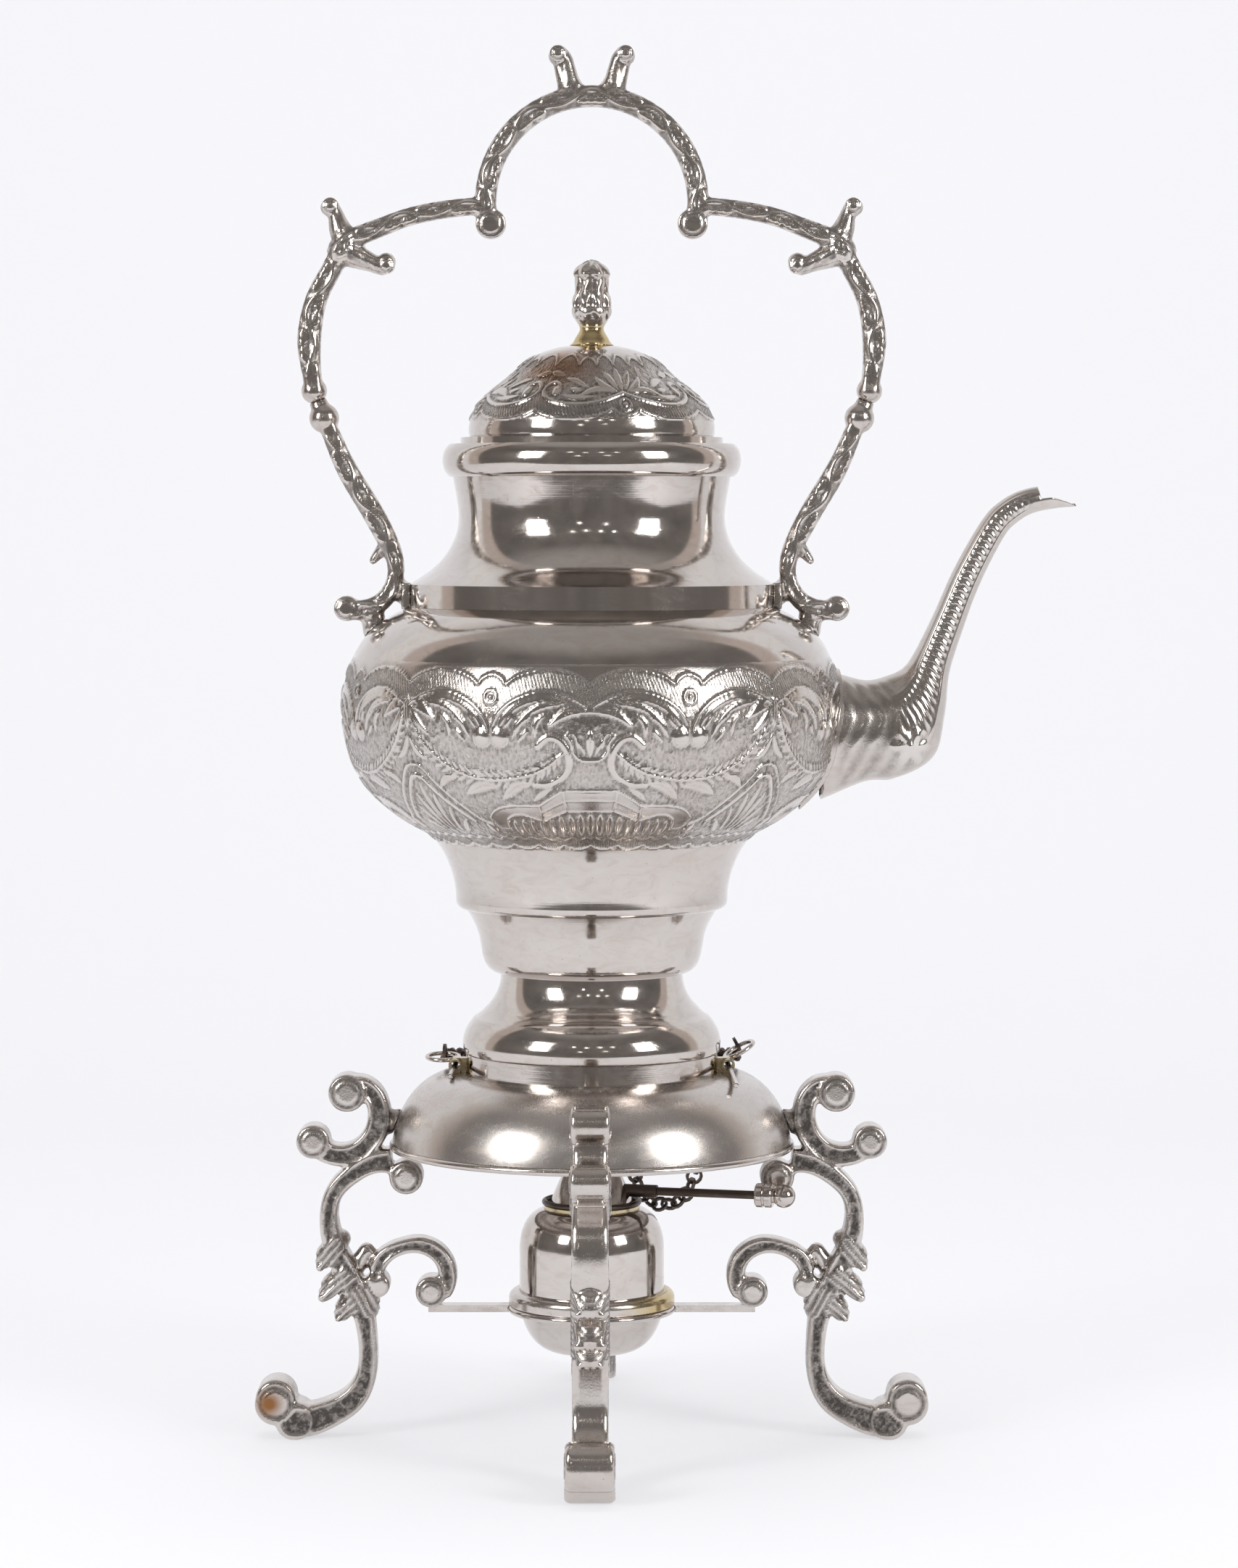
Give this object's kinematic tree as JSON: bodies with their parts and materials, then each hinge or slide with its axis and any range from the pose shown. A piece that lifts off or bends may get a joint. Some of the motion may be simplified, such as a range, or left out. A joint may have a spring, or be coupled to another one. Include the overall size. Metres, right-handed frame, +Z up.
{
  "type": "spirit kettle",
  "caption": "Tilting tea kettle with a domed lid, scrolled bail handle and curved spout, pinned to a domed stand on four scrolled legs over a spirit lamp with a snuffer.",
  "frame": {"origin": "on the table, under the axis of the stand", "axes": "+Z up, +X along the spout, -Y the front"},
  "size_m": [0.2951, 0.2416, 0.5003],
  "materials": {
    "bright_plate": "polished silver-coloured plate over brass, warm grey and a little worn",
    "cast_plate": "silver-coloured plate over cast brass, polished high spots and dark recesses",
    "small_plate": "silver-coloured plate, satin",
    "lamp_plate": "silver-coloured plate, polished",
    "worn_brass": "brass showing through worn plate",
    "dark_metal": "dark, oxidised",
    "wick_cotton": "loose cotton, a little charred at the top"
  },
  "bodies": {
    "stand": {"stand_dome": "bright_plate", "dome_rim": "bright_plate", "lamp_ring": "lamp_plate", "lamp_strap_right": "lamp_plate", "lamp_strap_back": "lamp_plate", "lamp_strap_left": "lamp_plate", "lamp_strap_front": "lamp_plate", "leg_right": "cast_plate", "leg_back": "cast_plate", "leg_left": "cast_plate", "leg_front": "cast_plate", "stand_lug_left_front": "small_plate", "stand_lug_left_back": "small_plate", "stand_lug_right_front": "small_plate", "stand_lug_right_back": "small_plate", "pin_chain": "dark_metal"},
    "kettle": {"kettle_foot": "bright_plate", "lower_cup": "bright_plate", "body_bulb": "bright_plate", "neck_shoulder": "bright_plate", "neck_rim": "bright_plate", "spout": "bright_plate", "spout_collar": "bright_plate", "handle_bail": "cast_plate", "handle_arm_left": "cast_plate", "handle_arm_right": "cast_plate", "kettle_lug_left": "small_plate", "kettle_lug_right": "small_plate"},
    "lid": {"lid_dome": "bright_plate", "lid_flange": "bright_plate", "lid_finial": "worn_brass", "finial_nut": "worn_brass"},
    "left_pin": {"left_pin": "small_plate"},
    "right_pin": {"right_pin": "small_plate"},
    "lamp": {"lamp_reservoir": "lamp_plate", "lamp_bead": "worn_brass"},
    "burner": {"burner_plate": "worn_brass", "burner_collar": "dark_metal", "wick_tube": "worn_brass"},
    "wick": {"wick": "wick_cotton"},
    "snuffer": {"snuffer_cone": "lamp_plate", "snuffer_socket": "dark_metal", "snuffer_rod": "dark_metal", "snuffer_knob": "lamp_plate"}
  },
  "joints": [
    {"name": "kettle_tilt", "type": "hinge", "parent": "stand", "child": "kettle", "pos_m": [0.049, 0, 0.1337], "axis": [0, 1, 0], "range_deg": [0, 50]},
    {"name": "left_pin_slide", "type": "slide", "parent": "stand", "child": "left_pin", "axis": [0.0607, 0.993, 0.1011], "range_m": [0, 0.026], "deforming": ["pin_chain"]},
    {"name": "right_pin_slide", "type": "slide", "parent": "stand", "child": "right_pin", "axis": [-0.0607, 0.993, 0.1011], "range_m": [0, 0.04], "deforming": ["pin_chain"]},
    {"name": "lid_lift", "type": "slide", "parent": "kettle", "child": "lid", "axis": [0, 0, 1], "range_m": [0, 0.036]},
    {"name": "lamp_lift", "type": "slide", "parent": "stand", "child": "lamp", "axis": [0, 0, 1], "range_m": [0, 0.005]},
    {"name": "burner_turn", "type": "hinge", "parent": "lamp", "child": "burner", "pos_m": [0, 0, 0.082], "axis": [0, 0, 1], "range_deg": [-50, 0]},
    {"name": "wick_raise", "type": "slide", "parent": "burner", "child": "wick", "axis": [0, 0, 1], "range_m": [0, 0.003]},
    {"name": "snuffer_lift", "type": "slide", "parent": "burner", "child": "snuffer", "axis": [0, 0, 1], "range_m": [0, 0.005]}
  ],
  "couplings": [
    {"joint": "left_pin_slide", "follows": "kettle_tilt", "m_per_rad": 0.0297}
  ]
}
